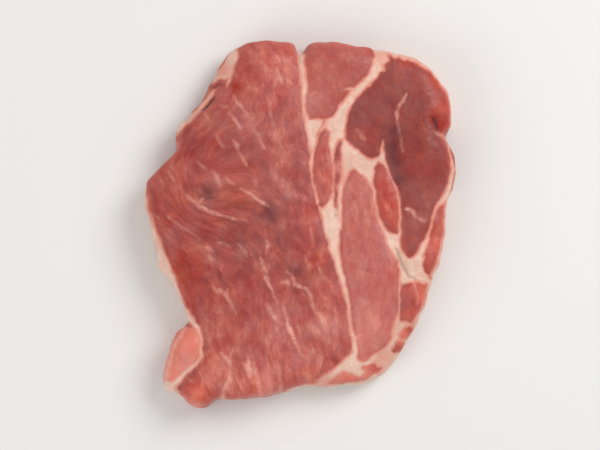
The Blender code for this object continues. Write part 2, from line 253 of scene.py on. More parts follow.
# Fine streaks of fat in the lean: how strongly each shows, and its stroke of (x, y, width).
streaks = [
    (0.9, [(-33.2, 8.9, 0.3), (-31.6, 7.4, 0.5), (-29.8, 6.0, 0.7), (-28.2, 4.9, 0.5)]),
    (1.0, [(-28.6, 5.4, 0.5), (-26.6, 4.2, 0.7), (-23.8, 2.9, 0.5), (-21.0, 2.4, 0.5),
           (-18.6, 1.6, 0.3)]),
    (0.6, [(-30.2, 6.4, 0.3), (-29.0, 6.9, 0.7), (-28.4, 7.8, 0.3)]),
    (0.8, [(-17.4, 10.8, 0.3), (-15.4, 9.6, 0.5), (-13.2, 8.0, 0.6), (-11.4, 6.8, 0.7),
           (-9.4, 5.4, 0.3)]),
    (0.45, [(-38.6, 2.8, 0.3), (-36.4, 1.0, 0.4), (-34.4, -0.6, 0.4), (-31.3, -2.0, 0.2)]),
    (0.5, [(-43.6, 3.4, 0.3), (-42.4, 3.2, 0.6), (-41.4, 2.2, 0.3)]),
    (0.7, [(-20.9, 33.0, 0.3), (-19.6, 31.4, 0.5), (-18.2, 30.0, 0.7), (-17.4, 28.4, 0.4)]),
    (0.6, [(-19.6, 38.2, 0.2), (-18.0, 36.0, 0.5), (-16.6, 34.2, 0.5), (-15.4, 32.8, 0.3)]),
    (0.6, [(-6.8, 46.1, 0.3), (-6.2, 44.2, 0.5), (-5.6, 42.6, 0.6), (-5.2, 41.6, 0.3)]),
    (0.35, [(-4.6, 43.6, 0.3), (-3.4, 42.0, 0.5), (-2.2, 41.4, 0.3)]),
    (0.4, [(-9.5, 37.6, 0.4), (-9.0, 35.6, 0.9), (-8.6, 33.6, 0.6), (-8.4, 31.0, 0.7),
           (-7.8, 29.2, 0.3)]),
    (0.55, [(-13.2, 28.0, 0.4), (-12.4, 26.6, 0.9), (-11.4, 24.2, 0.5), (-10.2, 22.4, 0.3)]),
    (0.55, [(-19.4, 24.8, 0.5), (-18.6, 23.6, 0.9), (-18.0, 22.0, 0.4)]),
    (0.6, [(-17.8, 21.2, 0.4), (-16.8, 19.4, 0.7), (-15.6, 17.6, 0.3)]),
    (0.45, [(-25.0, 15.6, 0.8), (-23.8, 12.8, 1.3), (-23.4, 11.0, 0.5)]),
    (0.6, [(-21.4, 13.6, 0.6), (-20.4, 12.6, 1.1), (-19.4, 12.2, 0.4)]),
    (0.45, [(-38.6, 16.0, 0.4), (-37.6, 14.4, 0.7), (-36.8, 13.4, 0.3)]),
    (0.45, [(-30.0, 19.0, 0.4), (-29.0, 17.6, 0.6), (-27.6, 16.4, 0.3)]),
    (0.3, [(-24.4, 26.4, 0.5), (-23.6, 24.4, 0.8), (-22.4, 23.0, 0.4)]),
    (0.4, [(-27.8, 33.0, 0.4), (-27.0, 31.6, 0.8), (-26.2, 30.4, 0.3)]),
    (0.4, [(-23.0, 35.2, 0.4), (-21.6, 34.8, 0.7), (-20.4, 33.8, 0.3)]),
    (0.55, [(-28.0, -6.4, 0.3), (-26.6, -7.0, 0.8), (-25.4, -7.6, 0.3)]),
    (0.5, [(-26.6, -8.6, 0.3), (-25.8, -10.0, 0.7), (-25.0, -10.6, 0.3)]),
    (0.4, [(-23.8, -5.0, 0.4), (-22.0, -5.4, 0.7), (-20.4, -6.4, 0.3)]),
    (0.45, [(-17.6, -5.8, 0.4), (-16.4, -7.2, 0.9), (-15.2, -9.4, 0.4)]),
    (0.6, [(-9.8, -4.6, 0.3), (-9.4, -6.0, 0.8), (-9.8, -8.4, 0.3)]),
    (0.7, [(-11.4, -9.6, 0.5), (-10.6, -12.0, 0.5), (-10.0, -13.6, 0.5)]),
    (0.9, [(-10.2, -14.4, 0.4), (-9.6, -16.0, 1.1), (-9.2, -17.2, 0.6), (-8.2, -18.8, 0.3)]),
    (0.6, [(-8.0, -19.4, 0.3), (-6.8, -22.0, 0.4), (-6.2, -23.4, 0.3)]),
    (0.55, [(-3.6, -13.6, 0.3), (-2.4, -14.8, 0.6), (-1.6, -16.2, 0.4)]),
    (0.6, [(-5.2, -16.8, 0.5), (-4.0, -16.6, 0.8), (-3.0, -17.4, 0.4)]),
    (0.8, [(-2.4, -15.8, 0.4), (-1.6, -17.2, 0.8), (0.0, -18.0, 0.6), (2.0, -18.4, 0.4)]),
    (0.7, [(2.2, -18.6, 0.5), (2.9, -20.6, 0.6), (3.8, -23.0, 0.4), (5.2, -26.2, 0.3)]),
    (0.6, [(5.6, -25.8, 0.4), (6.6, -27.6, 1.1), (6.9, -29.2, 0.4)]),
    (0.5, [(-25.4, -18.0, 0.4), (-24.2, -19.4, 0.9), (-23.6, -20.6, 0.4)]),
    (0.75, [(-23.6, -18.6, 0.4), (-22.6, -19.6, 1.0), (-21.4, -20.8, 0.5), (-20.6, -22.4, 0.3)]),
    (0.6, [(-21.6, -18.8, 0.3), (-21.2, -20.4, 0.6), (-19.8, -23.6, 0.4), (-18.8, -26.0, 0.3)]),
    (0.7, [(-9.6, -23.0, 0.3), (-8.6, -25.0, 0.6), (-7.4, -26.8, 0.7), (-6.4, -28.4, 0.3)]),
    (0.7, [(-4.8, -23.6, 0.4), (-4.0, -26.0, 0.7), (-3.6, -28.2, 0.5)]),
    (1.0, [(-3.6, -28.8, 0.6), (-2.8, -30.6, 1.3), (-2.0, -32.4, 0.8), (-1.2, -34.6, 0.6)]),
    (0.8, [(-1.4, -34.0, 0.5), (-0.4, -36.2, 0.6), (0.6, -38.4, 0.3)]),
    (0.5, [(-0.6, -29.4, 0.3), (0.0, -31.0, 0.6), (0.2, -32.4, 0.3)]),
    (0.5, [(3.2, -35.0, 0.3), (4.0, -36.8, 0.8), (4.8, -38.0, 0.3)]),
    (0.75, [(-23.0, -37.2, 0.5), (-21.4, -38.6, 0.9), (-20.6, -40.8, 0.7), (-20.5, -43.6, 0.5)]),
    (0.55, [(-19.4, -36.0, 0.3), (-20.0, -37.4, 0.7), (-20.8, -39.6, 0.4)]),
    (0.9, [(-20.6, -44.6, 0.5), (-21.4, -46.6, 0.7), (-22.2, -49.0, 1.1), (-23.0, -51.2, 1.5)]),
    (0.85, [(-15.4, -37.8, 0.4), (-15.0, -39.8, 0.8), (-14.6, -42.4, 1.7), (-14.8, -44.2, 0.8)]),
    (0.75, [(-16.6, -40.2, 0.4), (-15.6, -41.8, 1.0), (-14.2, -43.2, 1.0), (-12.6, -43.4, 0.5)]),
    (0.75, [(-13.4, -40.2, 0.4), (-12.8, -42.8, 1.0), (-12.2, -45.6, 0.7), (-11.6, -48.0, 0.6),
            (-11.0, -50.0, 0.7)]),
    (0.5, [(-6.4, -40.8, 0.3), (-5.8, -43.4, 0.5), (-5.6, -45.6, 0.6), (-5.4, -48.6, 1.2)]),
    (0.45, [(-10.0, -38.0, 0.3), (-9.4, -40.6, 0.5), (-9.2, -43.0, 0.3)]),
    (0.4, [(3.0, 1.0, 0.3), (3.2, -2.4, 0.6), (4.0, -5.4, 0.3)]),
    (0.5, [(5.4, -10.8, 0.4), (6.0, -13.0, 0.7), (6.9, -15.6, 0.4)]),
    (0.35, [(1.6, -8.8, 0.3), (2.2, -11.8, 0.5), (3.0, -14.4, 0.3)]),
    (0.5, [(-32.6, -45.0, 0.5), (-31.8, -45.2, 1.2), (-31.2, -45.8, 0.5)]),
    (0.9, [(-33.6, -29.8, 0.5), (-35.8, -33.0, 1.1), (-37.4, -36.6, 1.1), (-38.5, -40.8, 1.2),
           (-39.2, -44.2, 1.5)]),
    (0.75, [(31.0, 38.2, 0.4), (30.4, 36.6, 0.6), (29.0, 34.9, 0.7), (28.2, 33.3, 0.7),
            (28.5, 31.2, 0.5)]),
    (0.38, [(28.6, 31.0, 0.5), (28.9, 28.6, 0.6), (29.2, 26.6, 0.5), (29.7, 24.0, 0.4),
           (30.0, 21.6, 0.3)]),
    (0.6, [(39.6, 27.2, 0.4), (41.0, 26.6, 0.9), (43.2, 26.0, 1.0)]),
    (0.6, [(33.2, -17.0, 0.4), (34.3, -19.0, 0.5), (34.6, -21.0, 0.4), (34.2, -23.2, 0.2)]),
    (0.8, [(31.2, 4.8, 0.7), (32.4, 4.6, 0.9), (33.4, 3.6, 0.7), (34.2, 2.6, 0.4)]),
    (0.5, [(35.0, 2.2, 0.5), (36.2, 1.4, 0.8), (37.2, 1.8, 0.4)]),
    (0.5, [(3.0, 37.0, 0.4), (3.4, 38.6, 0.6), (4.8, 39.4, 0.4)]),
    (0.4, [(16.6, 28.2, 0.5), (17.8, 26.6, 0.9), (19.2, 25.2, 0.5)]),
    (0.35, [(18.6, 5.4, 0.4), (19.6, 3.4, 0.9), (20.4, 1.0, 0.4)]),
    (0.3, [(20.6, 8.6, 0.4), (21.2, 6.2, 0.7), (21.4, 3.6, 0.4)]),
    (0.3, [(16.0, 6.8, 0.4), (16.8, 4.2, 0.6), (16.4, 1.2, 0.3)]),
    (0.3, [(22.6, -26.4, 0.8), (23.2, -28.6, 1.4), (22.4, -30.4, 0.6)]),
]

# Muscles whose lean differs from the large one's: outline, tone from -1 dark to 1 pale, redness
# from -1 grey to 1 red, the way the fibres run, in degrees, and how far they lie along the cut.
muscles = {
    "upper": {
        "outline": [
            (1.0, 64.0), (25.0, 64.0), (22.9, 50.6), (20.3, 47.1), (18.3, 42.6), (14.8, 39.6),
            (10.8, 34.6), (8.3, 31.1), (2.3, 31.6), (2.0, 36.0), (2.6, 41.0), (2.0, 47.0),
        ],
        "tone": 0.14, "redness": -0.05, "angle": -80, "strands": 0.2,
    },
    "dark": {
        "outline": [
            (28.4, 64.0), (26.3, 46.6), (23.3, 43.6), (20.8, 40.6), (15.8, 36.1), (14.3, 31.6),
            (13.8, 28.6), (14.3, 25.6), (17.3, 22.1), (21.8, 19.1), (24.3, 21.0), (26.2, 16.2),
            (29.4, 10.0), (30.2, 3.0), (31.2, -4.0), (32.3, -9.1), (34.8, -5.9), (37.3, -1.4),
            (39.3, 4.6), (41.8, 7.6), (44.3, 10.6), (60.0, 15.0), (60.0, 36.0), (54.0, 60.0),
        ],
        "tone": -0.27, "redness": -0.3, "angle": -68, "strands": 0.3,
    },
    "longLens": {
        "outline": [
            (16.0, 16.6), (13.0, 12.6), (12.4, 8.0), (12.3, -8.0), (12.9, -12.4), (14.6, -18.0),
            (15.5, -26.0), (17.0, -34.0), (18.6, -40.0), (24.5, -37.0), (28.0, -30.4),
            (29.2, -22.0), (28.6, -11.0), (26.0, -4.0), (23.4, 2.0), (22.6, 8.6), (20.0, 13.0),
        ],
        "tone": 0.4, "redness": -0.22, "angle": -88, "strands": 0.35,
    },
    "smallLens": {
        "outline": [
            (24.0, 17.6), (22.3, 14.6), (22.7, 11.6), (23.5, 5.0), (24.5, 1.2), (28.0, -1.2),
            (29.6, 1.0), (29.2, 6.6), (27.9, 11.8), (25.4, 15.4),
        ],
        "tone": 0.3, "redness": 0.55, "angle": -80, "strands": 0.5,
    },
    "redLens": {
        "outline": [
            (8.0, 27.5), (5.6, 24.6), (4.6, 20.0), (4.2, 15.6), (4.4, 11.6), (6.2, 7.0),
            (8.2, 6.0), (9.6, 12.0), (9.6, 18.0), (8.4, 24.0),
        ],
        "tone": 0.3, "redness": 0.2, "angle": -82, "strands": 0.7,
    },
    "rightStrip": {
        "outline": [
            (42.0, 6.6), (39.5, 1.0), (37.4, -5.0), (36.4, -11.0), (38.6, -15.2), (40.0, -15.6),
            (60.0, -20.0), (60.0, 14.0), (44.8, 9.6),
        ],
        "tone": 0.16, "redness": 0.25, "angle": -84, "strands": 0.5,
    },
    "leftOval": {
        "outline": [
            (-33.6, -29.4), (-31.0, -29.6), (-29.6, -32.0), (-29.6, -37.6), (-32.0, -41.4),
            (-36.6, -45.2), (-40.4, -45.4), (-54.0, -47.0), (-52.0, -34.0), (-38.0, -29.6),
        ],
        "tone": 1.15, "redness": 0.6, "angle": -60, "strands": 0.65,
    },
    "rightOval": {
        "outline": [
            (30.3, -17.6), (34.0, -16.4), (39.4, -16.6), (60.0, -24.0), (56.0, -38.0),
            (33.8, -28.4), (30.4, -26.8), (29.6, -22.0),
        ],
        "tone": 0.4, "redness": 0.75, "angle": -60, "strands": 0.5,
    },
}

# Soft changes of the lean's tone and redness: (x, y, reach, tone, redness). Some pale spots along
# the lower margin are painted light.
toneAndLightSpots = [
    (-8.0, 45.0, 15.0, 0.43, 0.2), (-15.0, 28.0, 9.0, 0.1, -0.5), (-4.0, 24.0, 8.0, 0.2, -0.1),
    (-30.0, 24.5, 6.5, -0.04, 0.4), (-19.0, 41.0, 2.6, -0.16, 0.9), (-11.0, 50.6, 4.0, 0.2, 0.0),
    (-37.0, 16.0, 5.0, 0.12, 0.1), (-40.0, 4.0, 8.0, -0.04, 0.55), (-35.5, -13.0, 8.0, -0.1, 1.25),
    (-32.0, -21.0, 7.0, -0.06, 0.95), (-27.0, 9.8, 4.0, -0.7, -0.6), (-23.8, 13.2, 3.6, 0.3, -0.7),
    (-19.0, 8.6, 5.0, -0.1, 0.6), (-8.4, 3.0, 4.6, -0.5, -0.6), (-4.0, 8.5, 5.0, 0.04, -0.6),
    (-4.6, -3.0, 6.5, -0.1, -0.4), (-17.0, -7.5, 7.0, -0.17, -0.4),
    (-1.0, -13.0, 4.5, -0.34, -0.5), (2.4, 3.0, 5.0, 0.2, 0.6), (5.0, -9.0, 6.0, 0.16, 0.5),
    (-17.0, 1.0, 10.0, -0.2, 0.0), (-16.0, -20.0, 8.0, 0.04, 0.25),
    (-5.0, -30.0, 11.0, 0.42, -0.3), (8.0, -29.0, 7.0, 0.5, -0.4), (-22.0, -34.0, 8.0, 0.27, 0.2),
    (-25.0, -42.5, 7.0, 0.44, 0.2), (-12.0, -45.5, 9.0, 0.5, 0.2), (3.5, -42.5, 5.0, 0.1, 0.3),
    (10.0, -39.0, 3.4, -0.05, 0.1), (-30.6, -50.2, 5.6, 0.95, 1.5),
    (-32.4, -39.6, 3.2, -0.15, -0.8), (18.5, 26.0, 5.0, 0.28, 0.4), (28.0, 27.0, 3.2, -0.4, -0.1),
    (27.2, 22.6, 2.8, -0.5, 0.0), (27.8, 18.4, 3.0, -0.5, 0.0), (28.9, 13.0, 2.8, -0.5, -0.1),
    (31.2, -22.8, 4.0, -0.4, -1.0), (30.6, -32.6, 3.6, 0.9, 1.6), (23.5, 35.0, 6.0, 0.0, -0.4),
    (42.2, 34.5, 4.6, 0.56, 1.3), (40.0, 42.0, 4.6, 0.36, 1.4), (31.0, 48.0, 4.6, 0.32, 1.2),
    (37.0, 18.0, 7.0, 0.14, 0.1), (33.0, -4.0, 3.0, 0.2, 0.7), (34.0, 1.5, 4.0, 0.35, -0.3),
    (14.0, -44.8, 4.0, 1.1, 0.9), (20.5, -43.2, 5.0, 1.0, 0.5), (26.5, -14.0, 4.0, 0.1, 0.5),
    (22.0, -29.0, 8.0, 0.3, 0.1), (40.0, -6.0, 4.0, 0.65, 0.7), (3.0, -3.0, 3.6, 0.18, 0.5),
    (36.6, -20.5, 3.2, 0.5, 0.9), (-13.5, -48.0, 4.0, 0.2, 0.6), (2.0, 37.0, 9.0, 0.2, -0.6),
    (42.4, 28.8, 2.8, 0.2, 1.6), (9.4, -19.5, 5.5, 0.45, 0.0), (1.0, -40.0, 9.0, 0.3, -0.1),
    # painted light: the pale spots along the lower margin lighten the lean where the face slopes
    # down
    (6.0, -46.0, 8.0, 0.45, 0.1), (-8.0, -47.5, 7.0, 0.35, 0.1), (-20.0, -49.0, 6.0, 0.35, 0.1),
    (17.0, -34.5, 6.0, 0.3, -0.2), (30.5, -27.0, 3.5, 0.2, 0.0), (-10.0, 14.0, 7.0, 0.12, -0.2),
    (11.2, 17.0, 2.6, 0.7, -0.5), (10.6, 11.0, 2.6, 0.6, -0.5), (26.6, 6.0, 3.2, 0.12, 0.5),
    (13.0, -42.0, 6.0, 0.2, 0.0), (-2.0, 8.0, 13.0, 0.07, -0.12), (35.0, 26.0, 16.0, -0.13, 0.6),
]

# Where the fat is pinker: (x, y, reach, share).
fatSpots = [
    (-22.7, 46.5, 5.0, 0.85), (-30.0, 34.0, 8.0, 0.6), (0.6, 45.0, 7.0, 0.1),
    (24.4, 50.0, 4.6, 0.6), (8.0, -45.8, 4.0, 0.7), (25.0, -38.0, 5.0, 0.6), (42.4, 6.0, 4.0, 0.5),
    (43.5, 0.0, 6.0, 0.6), (3.5, 14.0, 5.0, 0.5), (9.8, 15.0, 6.0, 0.7), (22.4, 6.0, 5.0, 0.6),
    (28.0, 11.0, 5.0, 0.75), (29.4, 5.0, 4.0, 0.5), (29.4, 1.0, 4.0, 0.2), (-44.6, 5.0, 6.0, 0.5),
    (-42.0, -5.0, 3.0, 0.3), (-29.0, -36.0, 6.0, 0.2), (28.0, -31.0, 3.0, 0.4),
    (34.0, -29.0, 5.0, 0.3), (8.0, 29.6, 1.6, 0.5), (5.4, 26.4, 1.6, 0.6), (38.4, -1.0, 4.0, 0.6),
    (15.0, -28.0, 6.0, 0.2), (31.5, 49.6, 4.0, 0.3), (42.0, 41.0, 7.0, 0.6),
    (44.6, 31.0, 4.0, 0.5),
]

# How the large muscle's fibres run: they bend round each spot of (x, y, reach, push),
# and waver from side to side by this much.
fibreRun = {
    "angle": -72, "strands": 0.75,
    "bends": [
        (-32.0, 16.0, 26.0, 14.0), (-33.0, 7.0, 15.0, 4.5), (-2.0, -46.0, 30.0, 3.0),
        (-12.0, 40.0, 20.0, -4.0),
    ],
    "waver": 1.3, "waverSize": 8.0,
    "blend": 0.6,  # how far a muscle's tone runs over its border
    "fadeFrom": 0.5, "fadeTo": 1.5,  # the grain fades out between two muscles
    "apart": 40.0,  # so that no two muscles share their grain
}

# Cuts, folds and pockets pressed into the surface: depth, painted shade in them, and the stroke.
furrows = [
    (0.5, 0.1, [(-28.0, -31.5, 0.5), (-27.7, -35.0, 0.6), (-27.6, -39.0, 0.6)]),
    (0.55, 0.15, [(-28.0, -39.8, 0.4), (-31.2, -43.2, 0.6), (-33.8, -46.0, 0.7),
                  (-35.2, -48.2, 0.9)]),
    (0.5, 0.95, [(-25.0, 38.0, 0.3), (-26.2, 36.7, 0.8), (-27.4, 35.3, 0.8), (-28.6, 34.3, 0.4)]),
    (0.25, 0.55, [(-26.4, 41.9, 0.3), (-25.0, 41.0, 0.6), (-23.8, 41.7, 0.7),
                  (-22.6, 41.4, 0.4)]),
    (0.9, 0.9, [(38.9, 31.6, 0.1), (39.5, 30.2, 0.6), (40.0, 28.6, 0.5), (40.2, 27.8, 0.1)]),
    (0.5, 0.55, [(28.2, -6.6, 0.1), (29.2, -9.6, 0.4), (30.4, -12.4, 0.5), (32.0, -14.6, 0.5),
                 (33.8, -15.5, 0.3)]),
    (0.4, 0.3, [(10.5, 11.0, 0.1), (10.45, 8.0, 0.3), (10.5, 5.0, 0.3), (10.6, 2.4, 0.1)]),
    (0.4, 0.5, [(30.2, -17.8, 0.6), (31.2, -17.8, 0.9), (32.0, -17.7, 0.3)]),
    (0.5, 0.3, [(0.2, 48.0, 0.4), (-0.2, 52.0, 0.6)]),
]

relief = {
    "seamStep": 0.2,  # the lean stands this far above the fat beside it
    "seamGroove": 0.12,  # and the skin between them is a fine groove
    "grooveGap": 0.3, "grooveWidth": 0.45,
    "bundleHeight": 0.2, "bundleWidth": 1.7, "bundleLength": 10.0,
    "grainHeight": 0.12, "grainWidth": 1.3, "grainLength": 6.0,
    "lumpHeight": 0.35, "lumpSize": 7.0,
    "fatLumpHeight": 0.2, "fatLumpSize": 2.6,
    "streakRise": 0.1,
    "wallFoldDepth": 0.45, "wallFoldWidth": 3.6, "wallFoldLength": 16.0,
    "restFrom": 0.1, "restTo": 1.2,  # the relief dies out towards the resting face
}


def readPoints(mesh):
    flat = np.empty(len(mesh.vertices) * 3)
    mesh.vertices.foreach_get("co", flat)
    return flat.reshape(-1, 3) / mm


def writePoints(mesh, points):
    mesh.vertices.foreach_set("co", (points * mm).ravel())
    mesh.update()


def readNormals(mesh):
    flat = np.empty(len(mesh.vertices) * 3)
    mesh.vertices.foreach_get("normal", flat)
    return flat.reshape(-1, 3)


def strokeGap(flat, stroke):
    # distance from each point to the edge of one stroke, negative inside it
    gap = np.full(len(flat), farAway)
    for (x0, y0, w0), (x1, y1, w1) in zip(stroke, stroke[1:]):
        runX, runY = x1 - x0, y1 - y0
        share = ((flat[:, 0] - x0) * runX + (flat[:, 1] - y0) * runY) / (runX**2 + runY**2)
        share = share.clip(0, 1)
        away = np.hypot(flat[:, 0] - x0 - share * runX, flat[:, 1] - y0 - share * runY)
        gap = np.minimum(gap, away - (w0 + share * (w1 - w0)) / 2)
    return gap


def outlineGap(flat, outline):
    # distance from each point to a closed outline, negative inside it
    x, y = flat[:, 0], flat[:, 1]
    inside = np.zeros(len(flat), bool)
    away = np.full(len(flat), farAway)
    for (x0, y0), (x1, y1) in zip(outline, outline[1:] + outline[:1]):
        runX, runY = x1 - x0, y1 - y0
        share = (((x - x0) * runX + (y - y0) * runY) / (runX**2 + runY**2)).clip(0, 1)
        away = np.minimum(away, np.hypot(x - x0 - share * runX, y - y0 - share * runY))
        if y0 != y1:
            inside ^= ((y0 > y) != (y1 > y)) & (x < (y - y0) * runX / runY + x0)
    return np.where(inside, -away, away)


def softSpots(flat, spots, column):
    # the spots' values in one column, each strongest at its middle
    total = np.zeros(len(flat))
    for spot in spots:
        away = np.hypot(flat[:, 0] - spot[0], flat[:, 1] - spot[1]) / spot[2]
        total += spot[column] * np.exp(-2 * away**2)
    return total


def smoothStep(value, low, high):
    share = ((value - low) / (high - low)).clip(0, 1)
    return share * share * (3 - 2 * share)


def ripple(points, sizes, seed):
    # smooth noise from about -1 to 1, with waves of the given size along x, y and z
    place = np.array((seed, seed * 2.3, seed * 0.7))
    return np.array([noise.noise(Vector(p)) for p in points / sizes + place])


def sideways(points, size, seed):
    # the same noise for x and for y
    return np.column_stack((ripple(points, size, seed), ripple(points, size, seed + 5.7)))


def acrossAndAlong(flat, angle):
    # how far each point lies across and along fibres that run this way
    turn = math.radians(angle)
    across = -flat[:, 0] * math.sin(turn) + flat[:, 1] * math.cos(turn)
    along = flat[:, 0] * math.cos(turn) + flat[:, 1] * math.sin(turn)
    return across, along


def fatGap(points, flat, depth):
    # distance to the fat's edge, negative inside it
    unevenness = 1 + slab["spreadPlay"] * ripple(points, slab["spreadSize"], seeds["spread"])
    spread = smoothStep(depth, slab["spreadFrom"], slab["spreadTo"]) * unevenness
    seams = {name: strokeGap(flat, stroke) for name, stroke in fatSeams.items()}
    seams |= {name: outlineGap(flat, outline) for name, outline in fatPatches.items()}
    fat = np.min([gap - spread * sideSpread.get(name, 0) for name, gap in seams.items()], axis=0)
    sliver = np.min([strokeGap(flat, stroke) for stroke in leanSlivers.values()], axis=0)
    return np.maximum(fat, -sliver)


def readMeat(points):
    # what the meat is at each point: its seams, streaks, tone and fibres
    depth = 1 - points[:, 2] / slab["thickness"]
    flat = points[:, :2] + np.outer(depth, slab["slant"])
    drift = slab["drift"] * smoothStep(depth, slab["driftFrom"], slab["driftTo"])
    flat += sideways(points, slab["driftSize"], seeds["drift"]) * drift[:, None]
    flat += sideways(points, slab["kinkSize"], seeds["kink"]) * slab["kink"]
    gaps = np.array([strokeGap(flat, stroke) for _, stroke in streaks])
    nearest = gaps.argmin(axis=0)
    meat = {"flat": flat, "fat": fatGap(points, flat, depth), "streak": gaps.min(axis=0)}
    meat["streakShare"] = np.array([strength for strength, _ in streaks])[nearest]
    meat["tone"] = softSpots(flat, toneAndLightSpots, 3)
    meat["redness"] = softSpots(flat, toneAndLightSpots, 4)
    meat["fatPinkness"] = softSpots(flat, fatSpots, 3)
    across, along = acrossAndAlong(flat, fibreRun["angle"])
    across += softSpots(flat, fibreRun["bends"], 3)
    across += fibreRun["waver"] * ripple(points, fibreRun["waverSize"], seeds["waver"])
    strands = np.full(len(flat), fibreRun["strands"])
    meat["grainShare"] = np.ones(len(flat))
    for number, muscle in enumerate(muscles.values(), start=1):
        gap = outlineGap(flat, muscle["outline"])
        inside = smoothStep(-gap, -fibreRun["blend"], fibreRun["blend"])
        meat["grainShare"] *= smoothStep(np.abs(gap), fibreRun["fadeFrom"], fibreRun["fadeTo"])
        meat["tone"] += inside * muscle["tone"]
        meat["redness"] += inside * muscle["redness"]
        strands += inside * (muscle["strands"] - strands)
        own = inside > 0.5
        ownAcross, ownAlong = acrossAndAlong(flat, muscle["angle"])
        across = np.where(own, ownAcross + fibreRun["apart"] * number, across)
        along = np.where(own, ownAlong, along)
    meat["fibres"] = np.column_stack((across, along, points[:, 2]))
    meat["strands"] = strands
    return meat


def makeActive(piece):
    bpy.ops.object.select_all(action="DESELECT")
    piece.select_set(True)
    bpy.context.view_layer.objects.active = piece


def applyModifier(piece, kind, **settings):
    modifier = piece.modifiers.new(kind.lower(), kind)
    for name, value in settings.items():
        setattr(modifier, name, value)
    makeActive(piece)
    bpy.ops.object.modifier_apply(modifier=modifier.name)


def steakPiece():
    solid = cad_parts[slab["node"]]
    piece = bpy.data.objects.new("porkCollarSteak", solid.data.copy())
    bpy.context.scene.collection.objects.link(piece)
    makeActive(piece)
    bpy.ops.object.mode_set(mode="EDIT")
    bpy.ops.mesh.select_all(action="SELECT")
    bpy.ops.mesh.remove_doubles(threshold=slab["doubles"] * mm)
    bpy.ops.object.mode_set(mode="OBJECT")
    applyModifier(piece, "REMESH", mode="VOXEL", voxel_size=slab["voxel"] * mm)
    applyModifier(piece, "SMOOTH", factor=0.5, iterations=slab["smoothing"])
    print("steak remeshed:", len(piece.data.polygons), "faces")
    return piece


def carveRelief(piece):
    points, normals = readPoints(piece.data), readNormals(piece.data)
    meat = readMeat(points)
    wall = smoothStep(1 - np.abs(normals[:, 2]), 0.25, 0.85)
    face = 1 - wall
    lifted = smoothStep(points[:, 2], relief["restFrom"], relief["restTo"])
    lean = smoothStep(meat["fat"], -0.3, 0.5)
    bundleSizes = (relief["bundleWidth"], relief["bundleLength"], relief["bundleLength"])
    bundles = ripple(meat["fibres"], bundleSizes, seeds["bundles"])
    grainSizes = (relief["grainWidth"], relief["grainWidth"], relief["grainLength"])
    grain = ripple(points, grainSizes, seeds["grain"])
    lumps = ripple(points, relief["lumpSize"], seeds["lumps"])
    fatLumps = ripple(points, relief["fatLumpSize"], seeds["fatLumps"])
    foldSizes = (relief["wallFoldWidth"], relief["wallFoldWidth"], relief["wallFoldLength"])
    folds = ripple(points, foldSizes, seeds["folds"])
    groove = np.exp(-((meat["fat"] - relief["grooveGap"]) / relief["grooveWidth"]) ** 2)
    onStreak = smoothStep(-meat["streak"], -0.7, 0.2) * meat["streakShare"]
    height = relief["lumpHeight"] * lumps
    height += lean * relief["seamStep"]
    height -= relief["seamGroove"] * groove * face
    height += lean * meat["strands"] * meat["grainShare"] * face * relief["bundleHeight"] * bundles
    height += lean * (1 - meat["strands"] * 0.7) * relief["grainHeight"] * grain
    height += (1 - lean) * relief["fatLumpHeight"] * fatLumps
    height += relief["streakRise"] * onStreak * face
    height += wall * relief["wallFoldDepth"] * folds
    upward = normals[:, 2] > 0.2
    for depth, _, stroke in furrows:
        height -= depth * smoothStep(-strokeGap(meat["flat"], stroke), -0.9, 0.3) * upward
    points += normals * (height * lifted)[:, None]
    points[:, 2] = np.maximum(points[:, 2], 0)
    writePoints(piece.data, points)


def storeNumber(mesh, name, values):
    layer = mesh.attributes.new(name, "FLOAT", "POINT")
    layer.data.foreach_set("value", values.astype(np.float32))


def storeMeat(piece):
    mesh = piece.data
    points, normals = readPoints(mesh), readNormals(mesh)
    meat = readMeat(points)
    for name, values in meat.items():
        if name not in ("flat", "fibres"):
            storeNumber(mesh, name, values)
    storeNumber(mesh, "wall", smoothStep(1 - np.abs(normals[:, 2]), 0.35, 0.95))
    # where the upper face turns down at the margin, which gets painted light
    litRim = smoothStep(1 - normals[:, 2], 0.06, 0.6) * smoothStep(points[:, 2], 4.0, 9.0)
    storeNumber(mesh, "litRim", litRim)
    # painted shade in the creases of the furrows
    creaseShade = np.zeros(len(points))
    for _, shade, stroke in furrows:
        creaseShade = np.maximum(creaseShade, shade * smoothStep(-strokeGap(meat["flat"], stroke), -0.6, 0.3))
    storeNumber(mesh, "creaseShade", creaseShade * (normals[:, 2] > 0))
    layer = mesh.attributes.new("fibres", "FLOAT_VECTOR", "POINT")
    layer.data.foreach_set("vector", meat["fibres"].astype(np.float32).ravel())


def paint(red, green, blue):
    # a colour given as it looks on a screen, from 0 to 255
    shares = [c / 255 for c in (red, green, blue)]
    return [c / 12.92 if c < 0.04045 else ((c + 0.055) / 1.055) ** 2.4 for c in shares] + [1]


finish = {
    "leanTones": [  # from dark to pale lean
        (0.0, paint(98, 28, 25)), (0.25, paint(131, 46, 38)), (0.5, paint(166, 64, 52)),
        (0.75, paint(194, 93, 79)), (1.0, paint(228, 138, 120)),
    ],
    "tonePlay": {"soft": 0.1, "threads": 0.035, "speckle": 0.05, "mottle": 0.2, "patches": 0.18},
    "saturation": (0.83, 1.172),  # of lean that is least and most red
    "hue": (0.496, 0.5025),  # from mauve lean to tan
    "litRimLean": paint(202, 78, 60),  # painted light: paler lean where the margin turns down
    "skin": paint(212, 140, 124),
    "streak": paint(230, 163, 145),
    "fat": paint(228, 190, 171),
    "fatPale": paint(237, 204, 185),
    "fatPink": paint(219, 137, 118),
    "fatVein": paint(216, 150, 132),
    "fatDull": paint(208, 164, 140),
    # painted shade for the creases
    "creviceShade": paint(84, 20, 15),
    "subsurface": 0.25, "subsurfaceScale": 1.4, "subsurfaceRadius": (1.0, 0.35, 0.25),
    "roughness": 0.44, "roughnessPlay": 0.08, "specular": 0.32,
    "coat": 0.1, "coatRoughness": 0.25,
    "bump": 0.5, "bumpDepth": 0.3,
}

